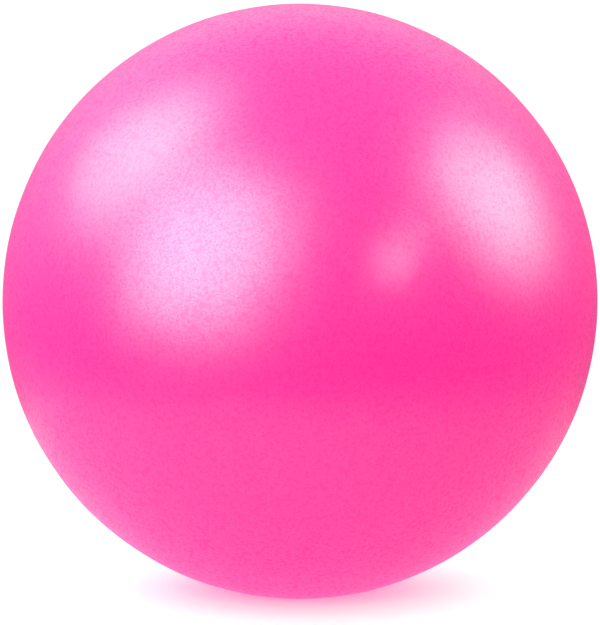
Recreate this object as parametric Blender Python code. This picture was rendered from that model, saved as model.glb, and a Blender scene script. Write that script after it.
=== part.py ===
"""Mini exercise ball: a rotationally moulded soft PVC skin, its valve sleeve and its push-in plug.

Units are metres and +Z is up.  The origin is the centre of the ball.  The ball stands on a small flat
at -Z, where its own weight presses the soft skin against the floor.  The valve looks along +Y.

The skin is turned about the vertical axis.  The two valve pieces are turned about the valve axis: they
hang from an empty that lies on the ball's surface, so in their own frame z = 0 is the surface of the
ball, +Z points out of the ball and a depth below the surface is negative.
"""

import math

import bmesh
import bpy

# The ball
BALL_RADIUS = 0.125
SKIN_WALL = 0.0006
REST_PATCH_RADIUS = 0.016

# The sleeve that is moulded into the skin: collar, flange behind the skin, and neck
COLLAR_RADIUS = 0.0075
COLLAR_DEPTH = 0.0003
FLANGE_RADIUS = 0.0115
FLANGE_THICKNESS = 0.0015
NECK_RADIUS = 0.0052
NECK_END_DEPTH = 0.0200
HOLE_RADIUS = 0.0022
RECESS_RADIUS = 0.0051
RECESS_DEPTH = 0.0020

# The plug: a low domed head in the sleeve's recess, and a stem with three ribs and a tapered tip
HEAD_RADIUS = 0.0046
HEAD_RIM_HEIGHT = 0.0009
HEAD_DOME = 0.0005
STEM_RADIUS = 0.00190
RIB_RADIUS = 0.00210
RIB_LENGTH = 0.0012
RIB_PITCH = 0.0034
FIRST_RIB_DEPTH = 0.0055
RIBS = 3
TAPER_DEPTH = 0.0155
TIP_DEPTH = 0.0195
TIP_RADIUS = 0.0012

# Clearances between pieces
GAP = 0.0003
FLANGE_GAP = 0.0008

# How finely round shapes are cut
SKIN_SEGMENTS = 64
SKIN_RINGS = 16
VALVE_SEGMENTS = 32
EDGE_ROUNDING = 0.0004
ROUNDING_STEPS = 3
DOME_STEPS = 4
FLANGE_STEPS = 3
MERGE_DISTANCE = 1e-6
SHARP_ANGLE = math.radians(40)

# Depth, from the ball's centre, of the flat that the ball stands on
REST_HEIGHT = math.sqrt(BALL_RADIUS**2 - REST_PATCH_RADIUS**2)


def clear_scene():
    for thing in list(bpy.data.objects):
        bpy.data.objects.remove(thing, do_unlink=True)


def make_material(name, colour, roughness, metallic=0.0):
    material = bpy.data.materials.new(name)
    material.use_nodes = True
    surface = material.node_tree.nodes["Principled BSDF"]
    surface.inputs["Base Color"].default_value = (*colour, 1.0)
    surface.inputs["Roughness"].default_value = roughness
    surface.inputs["Metallic"].default_value = metallic
    return material


def arc(centre, radius, start, end, steps):
    """(radius, height) points on an arc about centre, with angles in degrees up from the +radius side."""
    points = []
    for i in range(steps + 1):
        angle = math.radians(start + (end - start) * i / steps)
        points.append((centre[0] + radius * math.cos(angle), centre[1] + radius * math.sin(angle)))
    return points


def turned(name, profile, segments, ring=False):
    """An object turned about its Z axis from (radius, height) points that run down the outer side.

    A ring's profile is a closed loop that stays clear of the axis.
    """
    bm = bmesh.new()
    corners = [bm.verts.new((radius, 0.0, height)) for radius, height in profile]
    edges = [bm.edges.new(pair) for pair in zip(corners, corners[1:])]
    if ring:
        edges.append(bm.edges.new((corners[-1], corners[0])))
    bmesh.ops.spin(
        bm,
        geom=corners + edges,
        cent=(0.0, 0.0, 0.0),
        axis=(0.0, 0.0, 1.0),
        angle=math.tau,
        steps=segments,
    )
    bmesh.ops.remove_doubles(bm, verts=bm.verts, dist=MERGE_DISTANCE)
    bmesh.ops.recalc_face_normals(bm, faces=bm.faces)
    mesh = bpy.data.meshes.new(name)
    bm.to_mesh(mesh)
    bm.free()
    mesh.shade_smooth()
    mesh.set_sharp_from_angle(angle=SHARP_ANGLE)
    thing = bpy.data.objects.new(name, mesh)
    bpy.context.scene.collection.objects.link(thing)
    return thing


def make_valve_axis():
    """An empty on the ball's surface whose Z axis is the valve axis, pointing out of the ball."""
    axis = bpy.data.objects.new("valve_axis", None)
    axis.location = (0.0, BALL_RADIUS, 0.0)
    axis.rotation_euler = (math.radians(-90), 0.0, 0.0)
    bpy.context.scene.collection.objects.link(axis)
    return axis


def make_ball_skin(valve_axis, material):
    """The hollow skin: a sphere with a flat foot, its even wall, and the opening for the sleeve."""
    foot_angle = math.degrees(math.asin(REST_PATCH_RADIUS / BALL_RADIUS))
    profile = arc((0.0, 0.0), BALL_RADIUS, 90, 0, SKIN_RINGS)
    profile += arc((0.0, 0.0), BALL_RADIUS, 0, foot_angle - 90, SKIN_RINGS)[1:]
    profile.append((0.0, -REST_HEIGHT))
    skin = turned("ball_skin", profile, SKIN_SEGMENTS)
    skin.data.materials.append(material)

    wall = skin.modifiers.new("wall", "SOLIDIFY")
    wall.thickness = SKIN_WALL
    wall.offset = -1.0
    wall.use_even_offset = True

    opening_radius = COLLAR_RADIUS + GAP
    reach = 10 * SKIN_WALL
    cutter_profile = [(0.0, reach), (opening_radius, reach), (opening_radius, -reach), (0.0, -reach)]
    cutter = turned("valve_opening_cutter", cutter_profile, VALVE_SEGMENTS)
    cutter.parent = valve_axis
    cutter.hide_render = True
    cutter.display_type = "WIRE"
    opening = skin.modifiers.new("valve_opening", "BOOLEAN")
    opening.operation = "DIFFERENCE"
    opening.solver = "EXACT"
    opening.object = cutter
    return skin


def flange_top():
    """The flange's upper side, which follows the inside of the skin at an even gap, from rim to collar."""
    inside = BALL_RADIUS - SKIN_WALL - FLANGE_GAP
    points = []
    for i in range(FLANGE_STEPS + 1):
        radius = COLLAR_RADIUS + (FLANGE_RADIUS - COLLAR_RADIUS) * i / FLANGE_STEPS
        points.append((radius, math.sqrt(inside**2 - radius**2) - BALL_RADIUS))
    return points


def make_valve_sleeve(valve_axis, material):
    """The thick sleeve: a collar in the skin's opening, a flange behind it and a neck into the ball."""
    top = flange_top()
    flange_under = top[-1][1] - FLANGE_THICKNESS
    rounding = EDGE_ROUNDING
    profile = arc(
        (RECESS_RADIUS + rounding, -COLLAR_DEPTH - rounding), rounding, 180, 90, ROUNDING_STEPS
    )
    profile += arc(
        (COLLAR_RADIUS - rounding, -COLLAR_DEPTH - rounding), rounding, 90, 0, ROUNDING_STEPS
    )
    profile += top
    profile += [
        (FLANGE_RADIUS, flange_under),
        (NECK_RADIUS, flange_under),
    ]
    profile += arc(
        (NECK_RADIUS - rounding, -NECK_END_DEPTH + rounding), rounding, 0, -90, ROUNDING_STEPS
    )
    profile += arc(
        (HOLE_RADIUS + rounding, -NECK_END_DEPTH + rounding), rounding, -90, -180, ROUNDING_STEPS
    )
    profile += [
        (HOLE_RADIUS, -RECESS_DEPTH - rounding),
        (HOLE_RADIUS + rounding, -RECESS_DEPTH),
        (RECESS_RADIUS, -RECESS_DEPTH),
    ]
    sleeve = turned("valve_sleeve", profile, VALVE_SEGMENTS, ring=True)
    sleeve.parent = valve_axis
    sleeve.data.materials.append(material)
    return sleeve


def stem_profile():
    """The stem's outer side, from under the head down to the rounded tip."""
    points = []
    for i in range(RIBS):
        middle = FIRST_RIB_DEPTH + i * RIB_PITCH
        points += [
            (STEM_RADIUS, -middle + RIB_LENGTH / 2),
            (RIB_RADIUS, -middle + RIB_LENGTH / 6),
            (RIB_RADIUS, -middle),
            (STEM_RADIUS, -middle - RIB_LENGTH / 2),
        ]
    points.append((STEM_RADIUS, -TAPER_DEPTH))
    rounding = TIP_RADIUS / 2
    points += arc((TIP_RADIUS - rounding, -TIP_DEPTH + rounding), rounding, 0, -90, ROUNDING_STEPS)
    points.append((0.0, -TIP_DEPTH))
    return points


def make_valve_plug(valve_axis, material):
    """The plug, resting just clear of the recess's floor.  Its origin lies on the valve axis."""
    head_under = -RECESS_DEPTH + GAP
    rim_top = head_under + HEAD_RIM_HEIGHT
    rounding = EDGE_ROUNDING
    dome_edge = HEAD_RADIUS - rounding
    profile = []
    for i in range(DOME_STEPS):
        share = i / DOME_STEPS
        profile.append((dome_edge * share, rim_top + HEAD_DOME * (1.0 - share**2)))
    profile += arc((dome_edge, rim_top - rounding), rounding, 90, 0, ROUNDING_STEPS)
    profile += [(HEAD_RADIUS, head_under), (STEM_RADIUS, head_under)]
    profile += stem_profile()
    plug = turned("valve_plug", profile, VALVE_SEGMENTS)
    plug.parent = valve_axis
    plug.data.materials.append(material)
    return plug


def main():
    clear_scene()
    skin_pvc = make_material("skin_pvc", (1.0, 0.05, 0.38), 0.42)
    sleeve_pvc = make_material("sleeve_pvc", (0.95, 0.06, 0.36), 0.35)
    plug_plastic = make_material("plug_plastic", (0.90, 0.89, 0.87), 0.38)
    valve_axis = make_valve_axis()
    make_ball_skin(valve_axis, skin_pvc)
    make_valve_sleeve(valve_axis, sleeve_pvc)
    make_valve_plug(valve_axis, plug_plastic)


main()
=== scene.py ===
"""The looks of the mini exercise ball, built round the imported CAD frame.

Metres, +Z up, origin at the ball's centre.  The valve looks along +Y, so turned pieces are made about the
valve axis: their own frame has z = 0 on the ball's surface and +z pointing out of the ball.
"""

import math

import bpy
import numpy as np
from mathutils import Matrix, Vector


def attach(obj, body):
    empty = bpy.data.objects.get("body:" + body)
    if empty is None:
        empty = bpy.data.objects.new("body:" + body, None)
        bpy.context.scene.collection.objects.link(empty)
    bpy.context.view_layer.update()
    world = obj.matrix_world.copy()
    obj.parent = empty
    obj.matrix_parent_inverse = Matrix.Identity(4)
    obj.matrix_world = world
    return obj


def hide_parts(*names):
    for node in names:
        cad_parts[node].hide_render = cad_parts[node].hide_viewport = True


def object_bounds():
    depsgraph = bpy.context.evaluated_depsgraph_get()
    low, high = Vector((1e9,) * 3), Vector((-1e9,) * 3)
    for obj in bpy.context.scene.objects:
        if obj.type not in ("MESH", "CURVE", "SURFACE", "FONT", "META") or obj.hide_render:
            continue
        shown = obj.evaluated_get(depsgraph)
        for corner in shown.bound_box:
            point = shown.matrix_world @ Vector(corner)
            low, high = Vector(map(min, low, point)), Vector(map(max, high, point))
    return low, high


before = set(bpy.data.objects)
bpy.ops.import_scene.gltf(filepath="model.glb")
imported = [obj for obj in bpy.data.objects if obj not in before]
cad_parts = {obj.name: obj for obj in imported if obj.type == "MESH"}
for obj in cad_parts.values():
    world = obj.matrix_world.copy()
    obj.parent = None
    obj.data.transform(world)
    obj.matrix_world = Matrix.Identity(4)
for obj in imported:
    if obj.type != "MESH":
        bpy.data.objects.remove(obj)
cad_low, cad_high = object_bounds()

BALL_RADIUS = cad_high.z
REST_HEIGHT = -cad_low.z

# Skin
SKIN_WALL = 0.0006
OPENING_RADIUS = 0.00756
SKIN_SEGMENTS = 240
SKIN_SHARP_ANGLE = 60
RING_SPACING = 0.0030
INNER_RING_SPACING = 0.0080
VALVE_RING_SPACING = 0.0004
SEAM_HEIGHT = 0.00006
SEAM_HALF_WIDTH = 0.0004
# The seam has rings of its own out to SEAM_REACH half widths, and no other ring within SEAM_CLEAR half
# widths
SEAM_RINGS = 11
SEAM_REACH = 1.25
SEAM_CLEAR = 1.6
BEAD_RADIUS = 0.0093
BEAD_HALF_WIDTH = 0.0014
BEAD_HEIGHT = 0.00045
DISH_RADIUS = 0.0230
DISH_DEPTH = 0.00030
WAVE_HEIGHT = 0.00005
# Waves across the unit sphere: radians along x, y and z, and a phase.  Each is weaker than the last
SKIN_WAVES = (
    (19, 7, -5, 0.3),
    (-6, 17, 11, 1.9),
    (9, -13, 21, 4.1),
    (23, 5, 13, 2.7),
    (-15, -8, 26, 5.2),
)
WAVE_WEAKENING = 0.2
FOOT_SOFTNESS = 0.0004
# Higher above the floor than this, the rounding of the foot's edge is too small to matter
FOOT_REACH = 12 * FOOT_SOFTNESS

# Scales of noise are in cells per metre, and most of its values lie between these two
NOISE_LOW = 0.3
NOISE_HIGH = 0.7

# Skin material.  A pit starts where the grain falls under PIT_RIM and is deepest under PIT_BOTTOM
PIT_SCALE = 590.0
PIT_DETAIL = 1.2
PIT_DISTORTION = 0.25
PIT_RIM = 0.64
PIT_BOTTOM = 0.31
PIT_DEPTH = 0.000022
MOTTLE_SCALE = 38.0
FINE_SCALE = 2400.0
FINE_HEIGHT = 0.15
SKIN_LIGHT = (0.97, 0.0338, 0.298, 1.0)
SKIN_DEEP = (0.97, 0.0300, 0.290, 1.0)
# Painted shade: the skin's colour is multiplied by this in the deepest pits
PAINTED_SHADE_IN_PITS = (0.89, 0.81, 0.895, 1.0)
SKIN_ROUGHNESS = 0.28
POLISH_SPREAD = 0.02
DULLER_IN_PITS = 0.06
PVC_IOR = 1.5
# The level of gloss that belongs to the IOR, what multiplies it on the skin, and the share of it that the
# deepest pits lose
PLAIN_GLOSS = 0.5
GLOSS_BETWEEN_PITS = 1.35
GLOSS_LOST_IN_PITS = 0.41

# Valve materials
SLEEVE_LIGHT = (0.93, 0.036, 0.290, 1.0)
SLEEVE_DEEP = (0.86, 0.027, 0.250, 1.0)
PLUG_LIGHT = (0.66, 0.65, 0.63, 1.0)
PLUG_DEEP = (0.56, 0.55, 0.54, 1.0)
SMUDGE_SCALE = 1800.0
SMUDGE_SHINIER = 0.05
SMUDGE_DULLER = 0.07
TOOL_RING_SCALE = 1100.0
TOOL_RING_HEIGHT = 0.35

# Valve pieces: their main sizes are those of the CAD solids, and heights and depths are measured from the
# ball's surface along the valve axis
VALVE_SEGMENTS = 96
VALVE_SHARP_ANGLE = 40
VALVE_EDGE = 0.0004
COLLAR_RADIUS = 0.0075
COLLAR_TOP = -0.00022
COLLAR_CROWN = 0.00010
RECESS_RADIUS = 0.0051
RECESS_DEPTH = 0.0020
FLANGE_RADIUS = 0.0115
FLANGE_THICKNESS = 0.0015
FLANGE_GAP = 0.0005
NECK_RADIUS = 0.0052
NECK_END_DEPTH = 0.0200
HOLE_RADIUS = 0.0022
HEAD_RADIUS = 0.0046
HEAD_UNDER = -0.0017
HEAD_RIM_HEIGHT = 0.0009
HEAD_DOME = 0.0005
HEAD_RINGS = 45
HEAD_FIRST_RING = 0.0001
HEAD_UNDER_EDGE = 0.0002
GATE_RADIUS = 0.0007
GATE_HEIGHT = 0.00018
GATE_SLOPE = 0.0002
STEM_RADIUS = 0.0019
STEM_FILLET = 0.0003
STEM_START_DEPTH = 0.0025
STEM_RING_SPACING = 0.0001
RIB_HEIGHT = 0.0002
RIB_HALF_LENGTH = 0.0006
RIB_DEPTHS = (0.0055, 0.0089, 0.0123)
TAPER_DEPTH = 0.0155
TIP_DEPTH = 0.0195
TIP_RADIUS = 0.0012


def valve_frame():
    """Own frame of the valve pieces to world: z out of the ball along +Y, from the ball's surface."""
    return Matrix.Translation((0.0, BALL_RADIUS, 0.0)) @ Matrix.Rotation(math.radians(-90), 4, "X")


# ---------------------------------------------------------------- geometry


def arc(centre, radius, start, end, steps):
    """(radius, height) points on an arc about centre, angles in degrees up from the +radius side."""
    angles = np.radians(np.linspace(start, end, steps + 1))
    return [(centre[0] + radius * math.cos(a), centre[1] + radius * math.sin(a)) for a in angles]


def turned_faces(rows, segments, closed_loop):
    """Quads of a lathe whose rows of vertices lie one after the other, all with the same winding."""
    faces = []
    last = rows if closed_loop else rows - 1
    for row in range(last):
        below = (row + 1) % rows
        for i in range(segments):
            j = (i + 1) % segments
            faces.append(
                (row * segments + i, below * segments + i, below * segments + j, row * segments + j)
            )
    return faces


def make_object(name, points, faces, sharp_angle=None):
    """A smooth-shaded mesh object, with hard edges where its faces meet above sharp_angle degrees."""
    mesh = bpy.data.meshes.new(name)
    mesh.from_pydata([tuple(p) for p in points], [], faces)
    mesh.update()
    mesh.shade_smooth()
    if sharp_angle is not None:
        mesh.set_sharp_from_angle(angle=math.radians(sharp_angle))
    thing = bpy.data.objects.new(name, mesh)
    bpy.context.scene.collection.objects.link(thing)
    return thing


def turned(name, profile, segments, closed_loop=False):
    """A lathe about z from (radius, height) points that run down the outer side.

    A profile that starts or ends on the axis gets a single vertex there.
    """
    turns = np.linspace(0.0, math.tau, segments, endpoint=False)
    top = profile[0] if profile[0][0] == 0.0 and not closed_loop else None
    bottom = profile[-1] if profile[-1][0] == 0.0 and not closed_loop else None
    rows = profile[1 if top else 0 : -1 if bottom else None]
    points = [(r * math.cos(a), r * math.sin(a), z) for r, z in rows for a in turns]
    faces = turned_faces(len(rows), segments, closed_loop)
    for pole, row in ((top, 0), (bottom, len(rows) - 1)):
        if pole is None:
            continue
        points.append((0.0, 0.0, pole[1]))
        for i in range(segments):
            j = (i + 1) % segments
            ends = (row * segments + i, row * segments + j)
            faces.append((len(points) - 1, *ends) if pole is top else (len(points) - 1, *ends[::-1]))
    return make_object(name, points, faces, VALVE_SHARP_ANGLE)


def smooth_step(x):
    """0 below 0, 1 above 1, and an S-shaped rise between."""
    x = np.clip(x, 0.0, 1.0)
    return x * x * (3.0 - 2.0 * x)


def bump_shape(distance, half_width):
    """A rounded ridge of height 1 that reaches 0 at half_width."""
    return smooth_step(1.0 - np.abs(distance) / half_width)


def skin_relief(direction):
    """Height of the skin's outer surface over the plain sphere, for unit vectors from the centre."""
    x, y, z = direction.T
    from_axis = BALL_RADIUS * np.hypot(x, z)
    outside = y > 0
    seam = SEAM_HEIGHT * bump_shape(BALL_RADIUS * np.arcsin(np.clip(y, -1, 1)), SEAM_HALF_WIDTH)
    bead = BEAD_HEIGHT * bump_shape(from_axis - BEAD_RADIUS, BEAD_HALF_WIDTH) * outside
    dish = DISH_DEPTH * smooth_step(1.0 - from_axis / DISH_RADIUS) * outside
    waves = np.zeros(len(direction))
    for k, (a, b, c, phase) in enumerate(SKIN_WAVES):
        waves += np.sin(a * x + b * y + c * z + phase) / (1.0 + WAVE_WEAKENING * k)
    return seam + bead - dish + WAVE_HEIGHT * waves / 2.0


def flatten_foot(points, height):
    """Presses everything below -height onto the floor, with a softly rounded edge."""
    over = -height - points[:, 2]
    soft = FOOT_SOFTNESS * np.logaddexp(0.0, over / FOOT_SOFTNESS)
    points[:, 2] += np.where(over > -FOOT_REACH, soft, 0.0)
    return points


def ring_angles(spacing, fine):
    """Polar angles from the valve axis, from the opening to the far pole; fine adds rings at details."""
    start = math.asin(OPENING_RADIUS / BALL_RADIUS)
    count = round((math.pi - start) * BALL_RADIUS / spacing)
    angles = list(np.linspace(start, math.pi, count, endpoint=False))
    if fine:
        near_valve = np.arange(OPENING_RADIUS, DISH_RADIUS, VALVE_RING_SPACING)
        angles = [a for a in angles if a > math.asin(DISH_RADIUS / BALL_RADIUS)]
        angles += list(np.arcsin(near_valve / BALL_RADIUS))
        steps = SEAM_HALF_WIDTH * np.linspace(-SEAM_REACH, SEAM_REACH, SEAM_RINGS)
        clear = SEAM_CLEAR * SEAM_HALF_WIDTH
        angles = [a for a in angles if abs(a - math.pi / 2) * BALL_RADIUS > clear]
        angles += list(math.pi / 2 + steps / BALL_RADIUS)
    return np.sort(angles)


def sphere_rows(angles):
    """Unit vectors of a full ring of points at each polar angle from the valve axis."""
    turns = np.linspace(0.0, math.tau, SKIN_SEGMENTS, endpoint=False)
    polar, turn = np.meshgrid(angles, turns, indexing="ij")
    polar, turn = polar.ravel(), turn.ravel()
    return np.stack([np.sin(polar) * np.cos(turn), np.cos(polar), -np.sin(polar) * np.sin(turn)], axis=1)


def make_skin():
    """The hollow skin: outer surface, rolled lip at the opening, and inner surface."""
    inner_angles = ring_angles(INNER_RING_SPACING, False)
    outer_angles = ring_angles(RING_SPACING, True)
    outer_rows = sphere_rows(outer_angles)
    outer = outer_rows * (BALL_RADIUS + skin_relief(outer_rows))[:, None]
    outer = flatten_foot(outer, REST_HEIGHT)
    inner = sphere_rows(inner_angles) * (BALL_RADIUS - SKIN_WALL)
    inner = flatten_foot(inner, REST_HEIGHT - SKIN_WALL)
    inner = inner.reshape(len(inner_angles), SKIN_SEGMENTS, 3)[::-1].reshape(-1, 3)
    rows = len(inner_angles) + len(outer_angles)
    # The rings run over the inner surface towards the opening, then over the outer surface away from it
    points = [tuple(p) for p in np.concatenate([inner, outer])]
    faces = turned_faces(rows, SKIN_SEGMENTS, False)
    inner_pole = (0.0, -(BALL_RADIUS - SKIN_WALL), 0.0)
    outer_pole = (0.0, -BALL_RADIUS, 0.0)
    points += [inner_pole, outer_pole]
    last = (rows - 1) * SKIN_SEGMENTS
    for i in range(SKIN_SEGMENTS):
        j = (i + 1) % SKIN_SEGMENTS
        faces.append((len(points) - 2, i, j))
        faces.append((len(points) - 1, last + j, last + i))
    return make_object("skin", points, faces, SKIN_SHARP_ANGLE)


def sleeve_profile():
    """The sleeve as a closed loop that runs from the recess's rim over the collar and down the outside."""
    edge = VALVE_EDGE
    loop = arc((RECESS_RADIUS + edge, COLLAR_TOP - edge), edge, 180, 90, 6)
    for share in np.linspace(0.1, 0.9, 9):
        radius = RECESS_RADIUS + edge + share * (COLLAR_RADIUS - RECESS_RADIUS - 2 * edge)
        loop.append((radius, COLLAR_TOP + COLLAR_CROWN * math.sin(math.pi * share)))
    loop += arc((COLLAR_RADIUS - edge, COLLAR_TOP - edge), edge, 90, 0, 6)
    inside = BALL_RADIUS - SKIN_WALL - FLANGE_GAP
    for radius in np.linspace(COLLAR_RADIUS, FLANGE_RADIUS - edge, 5):
        loop.append((radius, math.sqrt(inside**2 - radius**2) - BALL_RADIUS))
    rim_top = loop[-1][1]
    loop += arc((FLANGE_RADIUS - edge, rim_top - edge), edge, 90, 0, 4)[1:]
    under = rim_top - FLANGE_THICKNESS
    loop += arc((FLANGE_RADIUS - edge, under + edge), edge, 0, -90, 4)
    loop += arc((NECK_RADIUS + edge, under - edge), edge, 90, 180, 4)
    loop += arc((NECK_RADIUS - edge, -NECK_END_DEPTH + edge), edge, 0, -90, 4)
    loop += arc((HOLE_RADIUS + edge, -NECK_END_DEPTH + edge), edge, -90, -180, 4)
    loop += arc((HOLE_RADIUS + edge, -RECESS_DEPTH - edge), edge, 180, 90, 4)
    loop += arc((RECESS_RADIUS - edge, -RECESS_DEPTH + edge), edge, -90, 0, 4)
    return loop


def plug_profile():
    """The plug from the gate mark on its head, over the rim and down the ribbed stem to the tip."""
    rim_top = HEAD_UNDER + HEAD_RIM_HEIGHT
    dome_edge = HEAD_RADIUS - VALVE_EDGE
    profile = [(0.0, rim_top + HEAD_DOME + GATE_HEIGHT)]
    for radius in np.linspace(HEAD_FIRST_RING, dome_edge, HEAD_RINGS):
        share = radius / dome_edge
        height = rim_top + HEAD_DOME * (1.0 - share**2)
        height += GATE_HEIGHT * float(smooth_step((GATE_RADIUS - radius) / GATE_SLOPE))
        profile.append((radius, height))
    profile += arc((dome_edge, rim_top - VALVE_EDGE), VALVE_EDGE, 90, 0, 6)[1:]
    under = HEAD_UNDER_EDGE
    profile += arc((HEAD_RADIUS - under, HEAD_UNDER + under), under, 0, -90, 3)
    fillet = STEM_FILLET
    profile += arc((STEM_RADIUS + fillet, HEAD_UNDER - fillet), fillet, 90, 180, 4)
    for depth in np.arange(STEM_START_DEPTH, TAPER_DEPTH, STEM_RING_SPACING):
        rib = max(float(bump_shape(depth - middle, RIB_HALF_LENGTH)) for middle in RIB_DEPTHS)
        profile.append((STEM_RADIUS + RIB_HEIGHT * rib, -depth))
    round_tip = TIP_RADIUS / 2
    profile += arc((TIP_RADIUS - round_tip, -TIP_DEPTH + round_tip), round_tip, 0, -90, 8)
    profile.append((0.0, -TIP_DEPTH))
    return profile


# ---------------------------------------------------------------- materials


def new_material(name):
    """A material with a Principled surface: the material, its node tree and the surface node."""
    material = bpy.data.materials.new(name)
    material.use_nodes = True
    tree = material.node_tree
    tree.nodes.clear()
    output = tree.nodes.new("ShaderNodeOutputMaterial")
    surface = tree.nodes.new("ShaderNodeBsdfPrincipled")
    tree.links.new(surface.outputs["BSDF"], output.inputs["Surface"])
    return material, tree, surface


def node(tree, kind, inputs=None, **settings):
    """A node whose inputs are joined to sockets or set to values, and whose settings are set."""
    made = tree.nodes.new(kind)
    for key, value in settings.items():
        setattr(made, key, value)
    for key, value in (inputs or {}).items():
        if isinstance(value, bpy.types.NodeSocket):
            tree.links.new(value, made.inputs[key])
        else:
            made.inputs[key].default_value = value
    return made


def math_node(tree, operation, first, second=None):
    inputs = {0: first} if second is None else {0: first, 1: second}
    return node(tree, "ShaderNodeMath", inputs, operation=operation).outputs["Value"]


def vector_node(tree, operation, first, second):
    return node(tree, "ShaderNodeVectorMath", {0: first, 1: second}, operation=operation)


def length_node(tree, vector):
    return node(tree, "ShaderNodeVectorMath", {0: vector}, operation="LENGTH").outputs["Value"]


def noise(tree, place, scale, detail, roughness=0.5, distortion=0.0):
    inputs = {
        "Vector": place,
        "Scale": scale,
        "Detail": detail,
        "Roughness": roughness,
        "Distortion": distortion,
    }
    return node(tree, "ShaderNodeTexNoise", inputs).outputs["Fac"]


def add_bump(tree, surface, height, depth):
    """Gives the surface a bumped normal, and returns it."""
    bump = node(tree, "ShaderNodeBump", {"Height": height, "Strength": 1.0, "Distance": depth})
    tree.links.new(bump.outputs["Normal"], surface.inputs["Normal"])
    return bump.outputs["Normal"]


def blend_colours(tree, share, first, second, kind="MIX"):
    mix = node(tree, "ShaderNodeMix", {0: share, 6: first, 7: second}, data_type="RGBA", blend_type=kind)
    return mix.outputs[2]


def remap(tree, value, low, high, to_low, to_high, kind="LINEAR"):
    made = node(
        tree,
        "ShaderNodeMapRange",
        {"Value": value, "From Min": low, "From Max": high, "To Min": to_low, "To Max": to_high},
        interpolation_type=kind,
    )
    return made.outputs["Result"]


def skin_material():
    """Pink PVC with the shallow random pits of a non-slip finish, a little duller in the pits and darkened
    there by painted shade, over a faint broad mottle."""
    material, tree, surface = new_material("skin_pvc")
    place = node(tree, "ShaderNodeTexCoord").outputs["Object"]
    grain = noise(tree, place, PIT_SCALE, PIT_DETAIL, distortion=PIT_DISTORTION)
    pit = remap(tree, grain, PIT_RIM, PIT_BOTTOM, 0.0, 1.0, "SMOOTHSTEP")
    mottle = noise(tree, place, MOTTLE_SCALE, 3.0)
    plain = blend_colours(tree, mottle, SKIN_LIGHT, SKIN_DEEP)
    # Painted shade: the colour is darker in the pits
    colour = blend_colours(tree, pit, plain, PAINTED_SHADE_IN_PITS, "MULTIPLY")
    tree.links.new(colour, surface.inputs["Base Color"])
    fine = noise(tree, place, FINE_SCALE, 2.0)
    shiny, dull = SKIN_ROUGHNESS - POLISH_SPREAD, SKIN_ROUGHNESS + POLISH_SPREAD
    polish = remap(tree, fine, NOISE_LOW, NOISE_HIGH, shiny, dull)
    duller = math_node(tree, "MULTIPLY", pit, DULLER_IN_PITS)
    tree.links.new(math_node(tree, "ADD", polish, duller), surface.inputs["Roughness"])
    surface.inputs["IOR"].default_value = PVC_IOR
    surface.inputs["Specular IOR Level"].default_value = PLAIN_GLOSS * GLOSS_BETWEEN_PITS
    sunk = math_node(tree, "MULTIPLY", pit, -1.0)
    height = math_node(tree, "ADD", sunk, math_node(tree, "MULTIPLY", fine, FINE_HEIGHT))
    normal = add_bump(tree, surface, height, PIT_DEPTH)
    # The pits lose part of their gloss at every angle, by a share of plain matt surface of the same colour
    matt = node(tree, "ShaderNodeBsdfDiffuse", {"Color": colour, "Normal": normal})
    lost = math_node(tree, "MULTIPLY", pit, GLOSS_LOST_IN_PITS)
    both = node(
        tree, "ShaderNodeMixShader", {0: lost, 1: surface.outputs["BSDF"], 2: matt.outputs["BSDF"]}
    )
    output = tree.nodes["Material Output"]
    tree.links.new(both.outputs["Shader"], output.inputs["Surface"])
    return material


def valve_material(name, light, deep, roughness, cloud_scale, mark_depth):
    """Moulded plastic: a faint cloud of colour, uneven polish, and fine tool rings round the valve axis."""
    material, tree, surface = new_material(name)
    place = node(tree, "ShaderNodeTexCoord").outputs["Object"]
    cloud = noise(tree, place, cloud_scale, 3.0, 0.6)
    tree.links.new(blend_colours(tree, cloud, light, deep), surface.inputs["Base Color"])
    smudge = noise(tree, place, SMUDGE_SCALE, 2.0)
    shiny, dull = roughness - SMUDGE_SHINIER, roughness + SMUDGE_DULLER
    polish = remap(tree, smudge, NOISE_LOW, NOISE_HIGH, shiny, dull)
    tree.links.new(polish, surface.inputs["Roughness"])
    rings = node(
        tree,
        "ShaderNodeTexWave",
        {"Vector": place, "Scale": TOOL_RING_SCALE, "Distortion": 0.6, "Detail": 1.0, "Detail Scale": 1.5},
        wave_type="RINGS",
        rings_direction="Z",
    ).outputs["Fac"]
    height = math_node(tree, "ADD", math_node(tree, "MULTIPLY", rings, TOOL_RING_HEIGHT), smudge)
    add_bump(tree, surface, height, mark_depth)
    return material


def sleeve_material():
    return valve_material(
        "sleeve_pvc", SLEEVE_LIGHT, SLEEVE_DEEP, roughness=0.28, cloud_scale=500.0, mark_depth=0.000012
    )


def plug_material():
    return valve_material(
        "plug_plastic", PLUG_LIGHT, PLUG_DEEP, roughness=0.34, cloud_scale=320.0, mark_depth=0.000010
    )


# ---------------------------------------------------------------- studio

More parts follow.
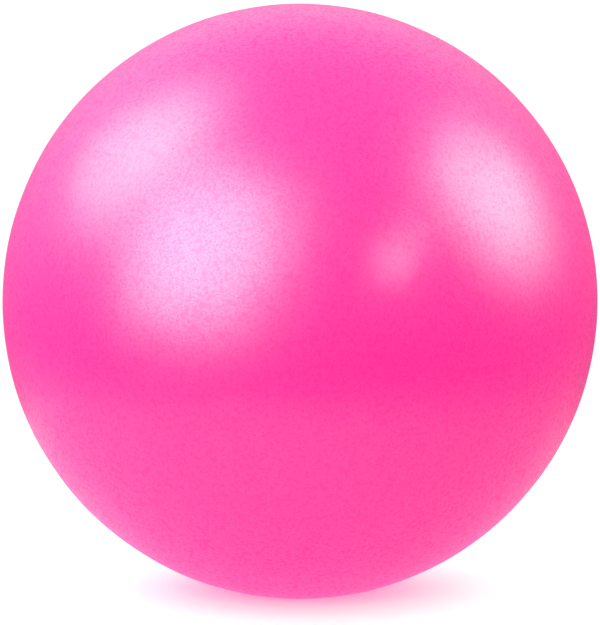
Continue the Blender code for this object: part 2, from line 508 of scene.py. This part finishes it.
# Softboxes seen only in reflections.  Azimuth is from the camera's side and elevation from the horizon, in
# degrees, halves are the half width and half height in metres, and blueness tips white towards blue.
# Apart from blueness, the values of the first three, and the roll, softness and squareness of the small
# one, come from a least-squares fit to a reference picture that a separate program made.  They weren't
# chosen by hand
SOFTBOXES = {
    "softbox_high_left": dict(
        azimuth=-94.3, elevation=43.3, roll=74.6, halves=(0.399, 0.303),
        radiance=10.4, softness=0.20, squareness=2.65, blueness=-0.05,
    ),
    "softbox_left": dict(
        azimuth=-38.8, elevation=25.2, roll=38.4, halves=(0.534, 0.463),
        radiance=13.6, softness=0.23, squareness=1.60, blueness=0.07,
    ),
    "softbox_right": dict(
        azimuth=91.2, elevation=28.5, roll=50.8, halves=(0.358, 0.429),
        radiance=10.9, softness=0.19, squareness=1.56, blueness=-0.03,
    ),
    "softbox_small": dict(
        azimuth=41.6, elevation=26.2, roll=39.7, halves=(0.195, 0.046),
        radiance=8.8, softness=0.07, squareness=3.75, blueness=0.00,
    ),
    "softbox_spark": dict(
        azimuth=34.4, elevation=19.9, roll=0.0, halves=(0.021, 0.025),
        radiance=120.0, softness=0.10, squareness=2.00, blueness=0.00,
    ),
}
LIGHT_DISTANCE = 1.0
# How far a softbox's lamp goes on past the outline, where its light dies away, per unit of softness
EDGE_REACH = 4.0
# A softbox fades where its light would glance off the ball, between these cosines of its angle to the
# surface, so that no side of the ball burns out against the white background
GLANCE_DARK = 0.30
GLANCE_FULL = 0.75
# Brightness of the reflected room by elevation in degrees, on the camera's side and behind the ball.  The
# levels, and the share below by which the room is darker to the right, come from the same fit
ROOM_ELEVATIONS = (-90, -25, -12, 0, 12, 30, 55, 90)
ROOM_FRONT = (0.17, 0.00, 0.00, 0.14, 0.08, 0.00, 0.50, 0.93)
ROOM_BACK = (1.25, 0.75, 0.16, 0.34, 0.72, 1.31, 1.04, 0.53)
# Share by which the room is darker to the right, and how sharply its front turns into its back
ROOM_LEFT_RIGHT = -0.31
ROOM_TURN = 4.0
# What the camera sees past the ball
ROOM_BEHIND_BALL = 1.15
# A colour ramp holds values up to 1, so the levels are divided by this in it
RAMP_CEILING = 4.0
# Broad lights that aren't reflected.  Strength is the brightness of a white surface that faces the light
FILLS = {
    "fill_top": dict(azimuth=0.0, elevation=90.0, spread=160.0, strength=0.06),
    "fill_front": dict(azimuth=0.0, elevation=15.0, spread=140.0, strength=0.40),
    "fill_left": dict(azimuth=-90.0, elevation=15.0, spread=140.0, strength=1.12),
    "fill_right": dict(azimuth=90.0, elevation=15.0, spread=140.0, strength=0.82),
}
# Painted light on the floor: a pink glow that the floor gives off round the foot and throws on the ball,
# and, seen only by the camera, a painted pink shadow round the foot that fades into white further out
GLOW_COLOUR = (1.0, 0.32, 0.62)
GLOW_RADIUS = 0.20
GLOW_STRENGTH = 1.25
PAINTED_SHADOW_NEAR = (1.00, 0.13, 0.36, 1.0)
PAINTED_SHADOW_FAR = (1.05, 0.85, 0.74, 1.0)
PAINTED_SHADOW_RADIUS = 0.040
PAINTED_SHADOW_STRETCH = 1.65
# The ball stands on a round pale table.  Painted light makes the paper's colour brighter towards the front
# left, as if it were lit more strongly from there.  How much brighter comes from the same fit
TABLE_RADIUS = 0.31
TABLE_SEGMENTS = 96
PAPER_WHITENESS = 0.46
PAPER_UNEVENNESS = 0.02
PAINTED_LIGHT_SLOPE = (-1.08, -0.92, 0.0)
PAPER_ROUGHNESS = 0.9
PAPER_GLOSS = 0.2
FIBRE_SCALE = 700.0
# Camera: metres from the ball, degrees above its centre, and metres that it is aimed under the centre
CAMERA_DISTANCE = 1.2
CAMERA_PITCH = 9.5
CAMERA_DROP = 0.0047
CAMERA_LENS = 163.7
SENSOR_WIDTH = 36.0
NEAR_CLIP = 0.01


def place_facing_ball(thing, azimuth, elevation, roll=0.0):
    """Puts thing in that direction from the ball with its -z axis towards the ball."""
    a, e = math.radians(azimuth), math.radians(elevation)
    out = Vector((math.sin(a) * math.cos(e), -math.cos(a) * math.cos(e), math.sin(e)))
    across = Vector((math.cos(a), math.sin(a), 0.0))
    basis = Matrix((across, out.cross(across), out)).transposed().to_4x4()
    turn = Matrix.Rotation(math.radians(roll), 4, "Z")
    thing.matrix_world = Matrix.Translation(out * LIGHT_DISTANCE) @ basis @ turn


def logistic(tree, value):
    """1 / (1 + exp(-value))"""
    power = math_node(tree, "EXPONENT", math_node(tree, "MULTIPLY", value, -1.0))
    return math_node(tree, "DIVIDE", 1.0, math_node(tree, "ADD", 1.0, power))


def glance_fade(tree):
    """1 for light that meets the ball squarely, 0 for light that glances off it.

    The line of the light passes the ball's centre at a distance of radius x sine of the angle.
    """
    geometry = tree.nodes.new("ShaderNodeNewGeometry").outputs
    product = vector_node(tree, "CROSS_PRODUCT", geometry["Position"], geometry["Incoming"])
    miss = length_node(tree, product.outputs["Vector"])
    sine = math_node(tree, "MINIMUM", math_node(tree, "DIVIDE", miss, BALL_RADIUS), 1.0)
    cosine = math_node(tree, "SQRT", math_node(tree, "SUBTRACT", 1.0, math_node(tree, "POWER", sine, 2.0)))
    return remap(tree, cosine, GLANCE_DARK, GLANCE_FULL, 0.0, 1.0, "SMOOTHSTEP")


def softbox_nodes(data, centre, axes, halves, radiance, softness, squareness):
    """Gives the light a superellipse outline that fades at its edge."""
    data.use_nodes = True
    tree = data.node_tree
    tree.nodes.clear()
    output = tree.nodes.new("ShaderNodeOutputLight")
    glow = tree.nodes.new("ShaderNodeEmission")
    tree.links.new(glow.outputs["Emission"], output.inputs["Surface"])
    place = tree.nodes.new("ShaderNodeNewGeometry").outputs["Position"]
    offset = vector_node(tree, "SUBTRACT", place, centre)
    terms = []
    for axis, half in zip(axes, halves):
        along = vector_node(tree, "DOT_PRODUCT", offset.outputs["Vector"], axis)
        share = math_node(tree, "DIVIDE", math_node(tree, "ABSOLUTE", along.outputs["Value"]), half)
        terms.append(math_node(tree, "POWER", share, squareness))
    distance = math_node(tree, "POWER", math_node(tree, "ADD", *terms), 1.0 / squareness)
    inside = math_node(tree, "DIVIDE", math_node(tree, "SUBTRACT", 1.0, distance), softness)
    share = math_node(tree, "MULTIPLY", logistic(tree, inside), glance_fade(tree))
    tree.links.new(math_node(tree, "MULTIPLY", share, radiance), glow.inputs["Strength"])


def make_softbox(name, azimuth, elevation, roll, halves, radiance, softness, squareness, blueness):
    """A soft light that shows in the gloss only, so it can be far brighter than the light on the skin."""
    reach = 1.0 + EDGE_REACH * softness
    data = bpy.data.lights.new(name, "AREA")
    data.shape = "RECTANGLE"
    data.size = 2.0 * halves[0] * reach
    data.size_y = 2.0 * halves[1] * reach
    data.color = (1.0, 1.0 - blueness / 2.0, 1.0 + blueness / 2.0)
    # Radiance 1 before the nodes: an area light's power over pi x its area
    data.energy = math.pi * data.size * data.size_y
    data.cycles.use_multiple_importance_sampling = False
    softbox = bpy.data.objects.new(name, data)
    bpy.context.scene.collection.objects.link(softbox)
    place_facing_ball(softbox, azimuth, elevation, roll)
    softbox.visible_camera = False
    softbox.visible_diffuse = False
    place = softbox.matrix_world
    axes = [place.col[k].to_3d() for k in range(2)]
    softbox_nodes(data, place.translation, axes, halves, radiance, softness, squareness)


def level_ramp(tree, share, elevations, levels):
    """The level at share, which runs from 0 straight down to 1 straight up, between the given ones."""
    ramp = tree.nodes.new("ShaderNodeValToRGB")
    elements = ramp.color_ramp.elements
    elements.remove(elements[1])
    for k, (elevation, level) in enumerate(zip(elevations, levels)):
        position = elevation / 180.0 + 0.5
        element = elements[0] if k == 0 else elements.new(position)
        element.position = position
        element.color = (level / RAMP_CEILING,) * 3 + (1.0,)
    tree.links.new(share, ramp.inputs["Fac"])
    return math_node(tree, "MULTIPLY", ramp.outputs["Color"], RAMP_CEILING)


def make_room():
    """The world: the studio round the ball, and plain white where the camera looks past the ball."""
    world = bpy.data.worlds.new("room")
    bpy.context.scene.world = world
    world.use_nodes = True
    tree = world.node_tree
    tree.nodes.clear()
    output = tree.nodes.new("ShaderNodeOutputWorld")
    background = tree.nodes.new("ShaderNodeBackground")
    tree.links.new(background.outputs["Background"], output.inputs["Surface"])
    background.inputs["Color"].default_value = (1.0, 1.0, 1.0, 1.0)
    direction = tree.nodes.new("ShaderNodeTexCoord").outputs["Generated"]
    split = node(tree, "ShaderNodeSeparateXYZ", {"Vector": direction})
    angle = math_node(tree, "ARCSINE", split.outputs["Z"])
    share = math_node(tree, "ADD", math_node(tree, "DIVIDE", angle, math.pi), 0.5)
    front = level_ramp(tree, share, ROOM_ELEVATIONS, ROOM_FRONT)
    back = level_ramp(tree, share, ROOM_ELEVATIONS, ROOM_BACK)
    behind = logistic(tree, math_node(tree, "MULTIPLY", split.outputs["Y"], ROOM_TURN))
    step = math_node(tree, "MULTIPLY", behind, math_node(tree, "SUBTRACT", back, front))
    side = math_node(tree, "ADD", 1.0, math_node(tree, "MULTIPLY", split.outputs["X"], ROOM_LEFT_RIGHT))
    level = math_node(tree, "MULTIPLY", math_node(tree, "ADD", front, step), side)
    seen = tree.nodes.new("ShaderNodeLightPath").outputs["Is Camera Ray"]
    shown = node(tree, "ShaderNodeMix", {0: seen, 2: level, 3: ROOM_BEHIND_BALL}, data_type="FLOAT")
    tree.links.new(shown.outputs[0], background.inputs["Strength"])


def make_fill(name, azimuth, elevation, spread, strength):
    """A broad soft light that brightens surfaces and isn't reflected in them."""
    data = bpy.data.lights.new(name, "SUN")
    data.energy = math.pi * strength
    data.angle = math.radians(spread)
    data.cycles.use_multiple_importance_sampling = False
    fill = bpy.data.objects.new(name, data)
    bpy.context.scene.collection.objects.link(fill)
    place_facing_ball(fill, azimuth, elevation)
    fill.visible_glossy = False


def round_fade(tree, place, radius):
    """exp(-(distance / radius) ** 2) from the middle of the floor"""
    distance = length_node(tree, place)
    share = math_node(tree, "POWER", math_node(tree, "DIVIDE", distance, radius), 2.0)
    return math_node(tree, "EXPONENT", math_node(tree, "MULTIPLY", share, -1.0))


def floor_material():
    """Pale paper that looks white to the camera, with a painted pink shadow round the foot that only the
    camera sees, and a pink glow that the paper gives off round the foot in place of light through the
    ball's thin skin.
    """
    material, tree, surface = new_material("floor_paper")
    place = node(tree, "ShaderNodeTexCoord").outputs["Object"]
    fibre = noise(tree, place, FIBRE_SCALE, 4.0)
    low, high = PAPER_WHITENESS - PAPER_UNEVENNESS, PAPER_WHITENESS + PAPER_UNEVENNESS
    tint = remap(tree, fibre, 0.0, 1.0, low, high)
    # Painted light: the paper's colour is brighter towards the front left
    slope = vector_node(tree, "DOT_PRODUCT", place, PAINTED_LIGHT_SLOPE)
    shade = math_node(tree, "ADD", 1.0, slope.outputs["Value"])
    tree.links.new(math_node(tree, "MULTIPLY", tint, shade), surface.inputs["Base Color"])
    surface.inputs["Roughness"].default_value = PAPER_ROUGHNESS
    surface.inputs["Specular IOR Level"].default_value = PAPER_GLOSS
    # Painted glow: the paper gives off pink light round the foot, which lights the ball but isn't seen by
    # the camera
    brightness = math_node(tree, "MULTIPLY", round_fade(tree, place, GLOW_RADIUS), GLOW_STRENGTH)
    glow = node(tree, "ShaderNodeVectorMath", {0: GLOW_COLOUR, "Scale": brightness}, operation="SCALE")
    # Painted shadow: pink near the foot, fading into white, seen only by the camera
    narrowed = vector_node(tree, "MULTIPLY", place, (1.0 / PAINTED_SHADOW_STRETCH, 1.0, 1.0))
    fade = round_fade(tree, narrowed.outputs["Vector"], PAINTED_SHADOW_RADIUS)
    painted_shadow = blend_colours(tree, fade, PAINTED_SHADOW_FAR, PAINTED_SHADOW_NEAR)
    seen = tree.nodes.new("ShaderNodeLightPath").outputs["Is Camera Ray"]
    shown = blend_colours(tree, seen, glow.outputs["Vector"], painted_shadow)
    tree.links.new(shown, surface.inputs["Emission Color"])
    surface.inputs["Emission Strength"].default_value = 1.0
    return material


def make_floor():
    """The round table top that the ball stands on."""
    turns = np.linspace(0.0, math.tau, TABLE_SEGMENTS, endpoint=False)
    rim = [(TABLE_RADIUS * math.cos(a), TABLE_RADIUS * math.sin(a), 0.0) for a in turns]
    floor = make_object("floor", rim, [tuple(range(TABLE_SEGMENTS))])
    floor.location = (0.0, 0.0, -REST_HEIGHT)
    floor.data.materials.append(floor_material())


def make_camera():
    """Long lens, a little above the ball, aimed just under its centre."""
    pitch = math.radians(CAMERA_PITCH)
    data = bpy.data.cameras.new("camera")
    data.lens = CAMERA_LENS
    data.sensor_width = SENSOR_WIDTH
    data.clip_start = NEAR_CLIP
    camera = bpy.data.objects.new("camera", data)
    back = Vector((0.0, -math.cos(pitch), math.sin(pitch)))
    up = Vector((0.0, math.sin(pitch), math.cos(pitch)))
    camera.location = back * CAMERA_DISTANCE - up * CAMERA_DROP
    camera.rotation_mode = "QUATERNION"
    camera.rotation_quaternion = (-back).to_track_quat("-Z", "Y")
    bpy.context.scene.collection.objects.link(camera)
    bpy.context.scene.camera = camera


def add_piece(thing, material, body, node_name):
    """Lets thing ride on a body of the frame and stand for one of its CAD nodes."""
    thing.data.materials.append(material)
    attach(thing, body)
    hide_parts(node_name)


skin = make_skin()
add_piece(skin, skin_material(), "ball", "ball_skin")
sleeve = turned("sleeve", sleeve_profile(), VALVE_SEGMENTS, closed_loop=True)
sleeve.matrix_world = valve_frame()
add_piece(sleeve, sleeve_material(), "ball", "valve_sleeve")
plug = turned("plug", plug_profile(), VALVE_SEGMENTS)
plug.matrix_world = valve_frame()
add_piece(plug, plug_material(), "plug", "valve_plug")

for name, settings in SOFTBOXES.items():
    make_softbox(name, **settings)
for name, settings in FILLS.items():
    make_fill(name, **settings)
make_room()
make_floor()
make_camera()

bpy.context.scene.view_settings.view_transform = "Standard"
